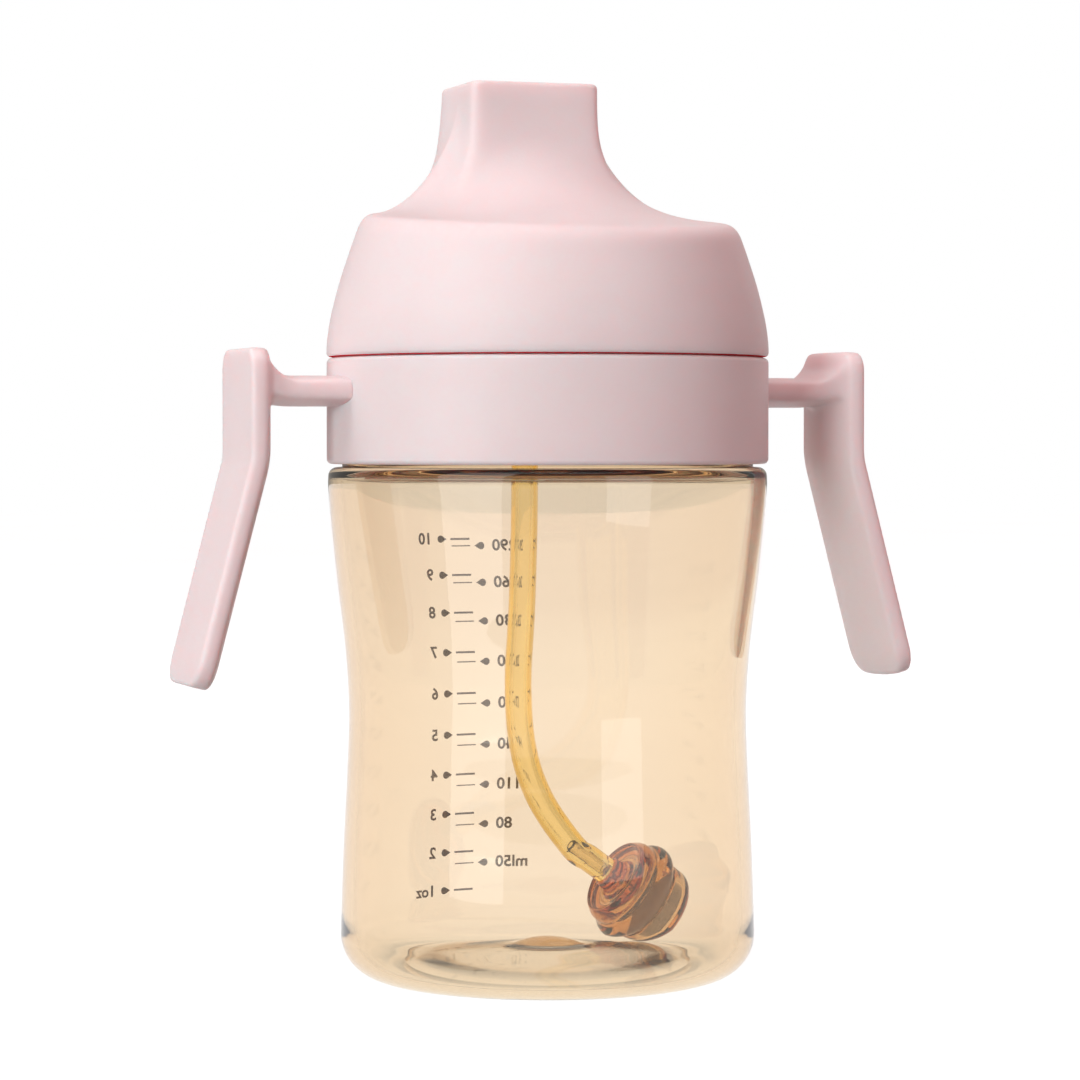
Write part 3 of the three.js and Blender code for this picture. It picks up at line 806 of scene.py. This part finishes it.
def vent_valve():
    """An umbrella valve under the lid, held by its bulb."""
    stem = 1.5 - GAP
    bottom, top = LID_BOTTOM, LID_TOP
    profile = [
        (0, bottom - 1.7), *through([(1.2, bottom - 1.68), (2.4, bottom - 1.5), (4.0, bottom - 0.9)], 4),
        (4.2, bottom - 0.7), (4.2, bottom - GAP), (stem, bottom - GAP), (stem, top + GAP), (2.0, top + GAP),
        (2.2, top + 0.5), *through([(2.1, top + 0.9), (1.5, top + 1.6), (0.7, top + 1.86)], 4),
        (0, top + 1.9),
    ]
    piece = turned("vent_valve", profile, False, 64, VENT_AT)
    return finish(shade(piece), "head", "clear_silicone", SILICONE, "vent_valve")


def mouthpiece():
    """The soft spout: a grommet in the lid, a flattened spout above and a tail below."""
    tail = low("mouthpiece").z
    tip = high("mouthpiece").z
    bottom, top = LID_BOTTOM - GAP, LID_TOP + GAP
    grommet = [
        (tail, 4.1, 4.1, 0), (tail + 0.3, 4.4, 4.4, 0), (104.3, 4.4, 4.4, 0), (104.6, 4.7, 4.7, 0),
        (105.0, 10.2, 10.2, 0), (105.4, 10.6, 10.6, 0), (bottom - 0.3, 10.6, 10.6, 0),
        (bottom, 10.3, 10.3, 0), (bottom, 8.7, 8.7, 0), (top, 8.7, 8.7, 0), (top, 11.9, 11.9, 0),
        (top + 0.3, 12.2, 12.2, 0), (LID_TOP + 1.5, 12.2, 12.2, 0), (LID_TOP + 1.9, 11.9, 11.8, 0),
        (LID_TOP + 2.1, 11.2, 10.6, 0.2),
    ]
    spout = through([
        (LID_TOP + 2.6, 10.4, 9.2, 0.4), (115.5, 9.8, 8.0, 0.8), (122.0, 9.3, 7.1, 1.2),
        (129.0, 8.7, 6.2, 1.7),
        (136.0, 8.2, 5.4, 2.2), (142.0, 7.9, 4.8, 2.5), (148.0, 7.8, 4.4, 2.8), (152.0, 7.9, 4.1, 2.9),
        (154.6, 7.8, 3.9, 3.0), (155.8, 7.3, 3.5, 3.05), (tip, 6.4, 2.7, 3.1),
    ], 4)
    bore = through([
        (tip, 4.2, 1.4, 3.1), (155.4, 3.6, 1.1, 3.1), (150.0, 4.6, 1.8, 2.9), (134.0, 5.0, 2.6, 2.0),
        (118.0, 3.2, 2.6, 0.8), (106.0, 1.9, 1.9, 0), (105.2, 2.6, 2.6, 0), (tail, 2.6, 2.6, 0),
    ], 4)

    def rings(bm):
        skin(bm, [[
            SPOUT_AT + Vector((half_width * math.cos(angle), back + half_depth * math.sin(angle), height))
            for angle in (2 * math.pi * i / SMALL_FACETS for i in range(SMALL_FACETS))
        ] for height, half_width, half_depth, back in [*grommet, *spout, *bore]], loop=True)

    return finish(shade(new_piece("mouthpiece", rings)), "head", "clear_silicone", SILICONE, "mouthpiece")


def straw_connector():
    """The ferrule that joins the soft spout's tail to the straw."""
    socket = STRAW_RADIUS + GAP
    profile = [
        (socket, 94.3), (socket + 0.2, 94.0), (3.7, 94.0), (3.9, 94.2), (3.9, 99.5), (3.7, 99.7), (2.4, 99.7),
        (2.3, 99.9), (2.3, 104.2), (2.1, 104.6), (1.4, 104.6), (1.3, 104.4), (1.3, 99.0), (socket, 99.0),
    ]
    piece = turned("straw_connector", profile, True, 64, SPOUT_AT)
    return finish(shade(piece), "head", "clear_silicone", SILICONE, "straw_connector")


# ---------------------------------------------------------------- straw and ball

def straw():
    """The moulded silicone tube, which keeps its curl, from the ferrule down to the ball's stem."""
    on_axis = [tuple(BALL_CENTRE + BALL_AXIS * (STRAW_END + back)) for back in (-8, -4, 0)]
    route = [Vector(point) for point in through([*STRAW_ROUTE, *on_axis], 12)]
    facets = 40
    turns = [2 * math.pi * k / facets for k in range(facets)]
    side = Vector((1, 0, 0))
    outside, inside = [], []
    for i, point in enumerate(route):
        ahead = (route[min(i + 1, len(route) - 1)] - route[max(i - 1, 0)]).normalized()
        side = (side - ahead * side.dot(ahead)).normalized()
        up = ahead.cross(side)
        ring = [side * math.cos(a) + up * math.sin(a) for a in turns]
        outside.append([point + spoke * STRAW_RADIUS for spoke in ring])
        inside.append([point + spoke * STRAW_BORE for spoke in ring])
    piece = new_piece("straw", lambda bm: skin(bm, outside + inside[::-1], loop=True))
    finish(shade(piece, 50), None, "straw_silicone", STRAW, "straw_tube")
    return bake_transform(piece)


def ball_frame():
    """The transform from the ball's own axis, with heights from its flange, to the row frame."""
    return Matrix.Translation(BALL_CENTRE) @ BALL_AXIS.to_track_quat("Z", "Y").to_matrix().to_4x4()


def ball_top_shell():
    """The upper shell: a stem in the straw, a dished shoulder with a sharp rim, and the flange."""
    stem_end = -16.5
    stem = STRAW_BORE - 0.08
    profile = [
        (0.7, stem_end), *arc(stem - 0.3, stem_end + 0.3, 0.3, -90, 0, 3), (stem, STRAW_END + GAP),
        (2.7, STRAW_END + GAP), (2.9, STRAW_END + GAP + 0.2),
        *through([(3.0, -6.6), (3.15, -5.6), (3.7, -4.75), (4.6, -4.4), (5.6, -4.5), (6.5, -4.95)], 4),
        *arc(7.2, -5.2, 0.22, 200, 350, 6),
        *through([(7.75, -4.85), (8.2, -4.1), (8.42, -3.3), (8.45, -2.7)], 4),
        *arc(7.5, 0, 2.27, -58, 62, 16),
        (8.4, 2.3), (7.9, 2.35), (7.0, 2.35),
        *through([(7.0, 0.8), (6.9, -0.6), (6.3, -2.0), (5.2, -2.7), (3.6, -2.8)], 4), (0.7, -2.8),
    ]
    piece = turned("ball_top_shell", profile, True, SMALL_FACETS, transform=ball_frame())
    return finish(shade(piece, 40), "ball", "ball_plastic", BALL, "ball_top_shell")


def ball_seal():
    """The ring between the ball's halves."""
    profile = rounded([(5.6, 0.9), (6.7, 0.9), (6.7, 2.0), (5.6, 2.0)], 0.4)
    piece = turned("ball_seal", profile, True, SMALL_FACETS, transform=ball_frame())
    return finish(shade(piece), "ball", "clear_silicone", SILICONE, "ball_seal")


def ball_core():
    """The steel weight."""
    profile = rounded([(2.6, 2.4), (6.6, 2.4), (6.6, 6.0), (2.6, 6.0)], 0.35)
    piece = turned("ball_core", profile, True, SMALL_FACETS, transform=ball_frame())
    return finish(shade(piece), "ball", "steel", STEEL, "ball_core")


def ball_cup():
    """The lower cup, with four small feet round its bottom."""
    outside = [
        (6.9, 2.75), (7.05, 2.6), (8.05, 2.6), (8.22, 2.75), (8.27, 3.0), (8.27, 5.2),
        *arc(5.97, 5.65, 2.3, 0, 90, 10), (1.8, 7.95), (1.5, 7.75), (1.5, 6.6), (1.7, 6.4),
        (6.0, 6.4), (6.5, 6.3), (6.85, 5.95), (6.9, 5.6),
    ]
    foot = [(0, 7.75), (0.5, 7.75), (0.5, 8.0), *arc(0, 8.0, 0.48, 20, 85, 5), (0, 8.48)]

    def shell(bm):
        turn(bm, outside, True, SMALL_FACETS)

    piece = new_piece("ball_cup", shell, ball_frame())
    feet = []
    for quarter in range(4):
        angle = (quarter + 0.5) * math.pi / 2
        at = Vector((5.4 * math.cos(angle), 5.4 * math.sin(angle), 0))
        feet.append(turned("foot", foot, False, 24, at, ball_frame()))
    united(piece, *feet)
    return finish(shade(piece, 40), "ball", "ball_plastic", BALL, "ball_cup")


# ---------------------------------------------------------------- dust cap

COVER_MIDDLE = (COVER_FRONT + COVER_BACK) / 2
DOME_CURVE = through(DOME_SIDE, 8)


def dome_radius(height):
    """The dome's outside radius at a height."""
    for (r0, z0), (r1, z1) in zip(DOME_CURVE, DOME_CURVE[1:]):
        if height <= z1:
            return r0 + (r1 - r0) * (max(height, z0) - z0) / (z1 - z0)
    return DOME_CURVE[-1][0]


def cover_reach(direction, inset):
    """Distance from the cover's middle to its rounded outline, along a direction in plan."""
    half_width = COVER_HALF_WIDTH - inset
    half_depth = (COVER_BACK - COVER_FRONT) / 2 - inset
    power = 2 + 2 * half_depth / max(1.0, 2.0 - inset)
    x = abs(direction.x) / half_width
    y = abs(direction.y) / half_depth
    return 1 / (x ** power + y ** power) ** (1 / power)


def circle_reach(direction, radius):
    """Distance from the cover's middle to a circle about the cup's axis."""
    along = COVER_MIDDLE * direction.y
    return -along + math.sqrt(along * along + radius * radius - COVER_MIDDLE ** 2)


def smoothstep(value, start, end):
    share = min(1.0, max(0.0, (value - start) / (end - start)))
    return share * share * (3 - 2 * share)


def cap_column(direction, inset):
    """One side of the cap as (reach, height), from the cover's flat top over the rim down the dome."""
    top = COVER_TOP - inset
    start = cover_reach(direction, inset)
    rim = circle_reach(direction, RIM_RADIUS - inset)
    edge = COVER_EDGE

    def plateau(reach):
        slope = RIM_SLOPE * (COVER_MIDDLE + direction.y * reach)
        return RIM_HEIGHT + slope + RIM_CROWN * (rim - reach) - inset

    column = [(start - edge - 1.5, top)]
    for k in range(7):
        angle = math.pi / 2 * k / 6
        column.append((start - edge + edge * math.sin(angle), top - edge + edge * math.cos(angle)))
    to_side = smoothstep(direction.y, -0.66, -0.1)
    to_back = smoothstep(direction.y, -0.1, 0.9)
    power = SWEEP_FRONT + (SWEEP_SIDE - SWEEP_FRONT) * to_side + (SWEEP_BACK - SWEEP_SIDE) * to_back
    rim_corner = circle_reach(direction, dome_radius(plateau(rim) + inset) - inset)
    end = rim_corner - RIM_FILLET * 0.9
    steps = 36
    for k in range(1, steps + 1):
        swing = math.pi / 2 * k / steps
        out = 1 - math.cos(swing) ** (2 / power)
        down = math.sin(swing) ** (2 / power)
        reach = start + (end - start) * out
        column.append((reach, (top - edge) + (plateau(end) - (top - edge)) * down
                       + (plateau(reach) - plateau(end)) * smoothstep(down, 0.2, 1.0)))
    side_top = plateau(rim_corner) - RIM_FILLET
    side_reach = circle_reach(direction, dome_radius(side_top + inset) - inset)
    first = Vector(column[-1])
    corner = Vector((rim_corner, plateau(rim_corner)))
    last = Vector((side_reach, side_top))
    for k in range(1, 10):
        t = k / 9
        column.append(tuple((1 - t) ** 2 * first + 2 * t * (1 - t) * corner + t * t * last))
    side_bottom = CAP_BOTTOM + 0.6 if inset == 0 else CAP_SKIRT_BOTTOM + 6.0
    for k in range(1, 21):
        height = side_top + (side_bottom - side_top) * k / 20
        column.append((circle_reach(direction, dome_radius(height + inset) - inset), height))
    return column


def cap_rings(inset):
    """The cap's rings, from the middle of its top down to its lower edge."""
    turns = [2 * math.pi * i / CAP_SLICES for i in range(CAP_SLICES)]
    directions = [Vector((math.cos(a), math.sin(a), 0)) for a in turns]
    columns = [cap_column(direction, inset) for direction in directions]
    rings = []
    for k in range(len(columns[0])):
        rings.append([
            Vector((d.x * column[k][0], COVER_MIDDLE + d.y * column[k][0], column[k][1]))
            for d, column in zip(directions, columns)
        ])
    return rings


def level_ring(radius, height):
    """A ring about the cup's axis, with its points in the same directions as the cap's columns."""
    ring = []
    for i in range(CAP_SLICES):
        angle = 2 * math.pi * i / CAP_SLICES
        direction = Vector((math.cos(angle), math.sin(angle), 0))
        reach = circle_reach(direction, radius)
        ring.append(Vector((direction.x * reach, COVER_MIDDLE + direction.y * reach, height)))
    return ring


def dust_cap():
    """The dust cap: dome, sloping rim and the cover of the soft spout, in one thin shell."""
    outside = cap_rings(0)
    inside = cap_rings(CAP_WALL)
    skirt = [(39.75, 112.3), (39.5, CAP_BOTTOM), (CAP_LIP, CAP_BOTTOM), (CAP_LIP, 111.9), (32.7, 111.9),
             (32.7, CAP_SKIRT_BOTTOM + 0.3), (32.4, CAP_SKIRT_BOTTOM), (31.3, CAP_SKIRT_BOTTOM),
             (31.0, CAP_SKIRT_BOTTOM + 0.3), (31.0, CAP_SKIRT_BOTTOM + 4.0)]
    rings = outside + [level_ring(*point) for point in skirt] + inside[::-1]
    piece = new_piece("dust_cap", lambda bm: skin(bm, rings))
    finish(shade(piece, 40), "cap", "pink_shell", PINK, "dust_cap")
    # The lip's underside over the collar gets the painted deep red shade of the gap.
    piece.data.materials.append(SEAM_SHADE)
    for polygon in piece.data.polygons:
        height = polygon.center.z / MM
        radius = math.hypot(polygon.center.x, polygon.center.y) / MM
        if 111.85 < height < 112.15 and radius > 37:
            polygon.material_index = 1
    return piece


# ---------------------------------------------------------------- studio

CAMERA_AZIMUTH = math.radians(-19.0)
CAMERA_DISTANCE = 0.661
CAMERA_HEIGHT = 0.0978
CAMERA_PITCH = math.radians(-1.63)
CAMERA_PAN = math.radians(0.118)
CAMERA_LENS = 121.8


def camera():
    """The camera at the photograph's viewing angle."""
    data = bpy.data.cameras.new("camera")
    data.lens = CAMERA_LENS
    data.sensor_width = 36
    data.clip_start = 0.05
    data.clip_end = 20
    view = bpy.data.objects.new("camera", data)
    view.location = (
        CAMERA_DISTANCE * math.sin(CAMERA_AZIMUTH),
        -CAMERA_DISTANCE * math.cos(CAMERA_AZIMUTH),
        CAMERA_HEIGHT,
    )
    view.rotation_euler = (math.pi / 2 + CAMERA_PITCH, 0, CAMERA_AZIMUTH + CAMERA_PAN)
    bpy.context.scene.collection.objects.link(view)
    bpy.context.scene.camera = view


def softbox(name, azimuth, elevation, distance, width, height, power, colour, mirrored=False):
    """A rectangular light aimed at the cup. The azimuth is measured from the camera's, to its right.

    It either lights the cup or, where mirrored, is only seen as a reflection in it.
    """
    data = bpy.data.lights.new(name, "AREA")
    data.shape = "RECTANGLE"
    data.size = width
    data.size_y = height
    data.energy = power
    data.color = colour
    light = bpy.data.objects.new(name, data)
    heading = CAMERA_AZIMUTH + math.radians(azimuth)
    rise = math.radians(elevation)
    target = Vector((0, 0, 0.09))
    away = Vector((math.sin(heading) * math.cos(rise), -math.cos(heading) * math.cos(rise), math.sin(rise)))
    light.location = target + away * distance
    light.rotation_euler = away.to_track_quat("Z", "Y").to_euler()
    light.visible_camera = False
    light.visible_transmission = False
    light.visible_diffuse = not mirrored
    light.visible_glossy = mirrored
    bpy.context.scene.collection.objects.link(light)


def surround():
    """The air round the set: white where it is seen, dimmer in reflections, and a pink fill light."""
    world = bpy.data.worlds.new("surround")
    world.use_nodes = True
    nodes, links = world.node_tree.nodes, world.node_tree.links
    fill = nodes["Background"]
    fill.inputs["Color"].default_value = FILL_COLOUR
    fill.inputs["Strength"].default_value = FILL_STRENGTH
    mirrored = nodes.new("ShaderNodeBackground")
    mirrored.inputs["Color"].default_value = MIRRORED_COLOUR
    mirrored.inputs["Strength"].default_value = MIRRORED_STRENGTH
    seen = nodes.new("ShaderNodeBackground")
    seen.inputs["Color"].default_value = (1, 1, 1, 1)
    path = nodes.new("ShaderNodeLightPath")
    brightness = nodes.new("ShaderNodeMapRange")
    brightness.inputs["To Min"].default_value = SEEN_THROUGH_PLASTIC
    brightness.inputs["To Max"].default_value = SEEN_DIRECTLY
    clear = nodes.new("ShaderNodeMath")
    clear.operation = "MAXIMUM"
    dim = nodes.new("ShaderNodeMixShader")
    mix = nodes.new("ShaderNodeMixShader")
    links.new(path.outputs["Is Camera Ray"], brightness.inputs["Value"])
    links.new(brightness.outputs["Result"], seen.inputs["Strength"])
    links.new(path.outputs["Is Camera Ray"], clear.inputs[0])
    links.new(path.outputs["Is Transmission Ray"], clear.inputs[1])
    links.new(path.outputs["Is Glossy Ray"], dim.inputs["Fac"])
    links.new(fill.outputs["Background"], dim.inputs[1])
    links.new(mirrored.outputs["Background"], dim.inputs[2])
    links.new(clear.outputs["Value"], mix.inputs["Fac"])
    links.new(dim.outputs["Shader"], mix.inputs[1])
    links.new(seen.outputs["Background"], mix.inputs[2])
    links.new(mix.outputs["Shader"], nodes["World Output"].inputs["Surface"])
    world.cycles.sampling_method = "NONE"
    bpy.context.scene.world = world


def studio():
    """A pale floor, softboxes left, in front and behind, two strips to mirror, and an overhead light."""
    slab = [(0, -2.0), (4000, -2.0), (4000, -0.02), (0, -0.02)]
    piece = turned("floor", slab, False, 96)
    piece.data.materials.append(pale_floor("pale_floor"))
    softbox("softbox_left", -66, 50, 1.2, 0.5, 0.5, 4.2, KEY_COLOUR)
    softbox("softbox_front", -29, 8, 1.2, 0.3, 0.4, 8.6, KEY_COLOUR)
    softbox("softbox_back", 150, 22, 1.2, 0.6, 0.5, 4.6, KEY_COLOUR)
    softbox("strip_left", -37, 16, 0.21, 0.126, 0.30, 0.19, (1.0, 1.0, 1.0), True)
    softbox("strip_right", 41, 5, 0.45, 0.19, 0.26, 0.22, (1.0, 1.0, 1.0), True)
    overhead = bpy.data.lights.new("overhead", "SUN")
    overhead.energy = 0.9
    overhead.angle = math.radians(60)
    sky = bpy.data.objects.new("overhead", overhead)
    sky.location = (0, 0, 2)
    bpy.context.scene.collection.objects.link(sky)
    surround()
    bpy.context.scene.view_settings.view_transform = "Standard"


camera()
bottle()
printed_scale()
handle_collar()
lid()
gasket()
vent_valve()
mouthpiece()
straw_connector()
straw()
ball_top_shell()
ball_seal()
ball_core()
ball_cup()
dust_cap()
studio()
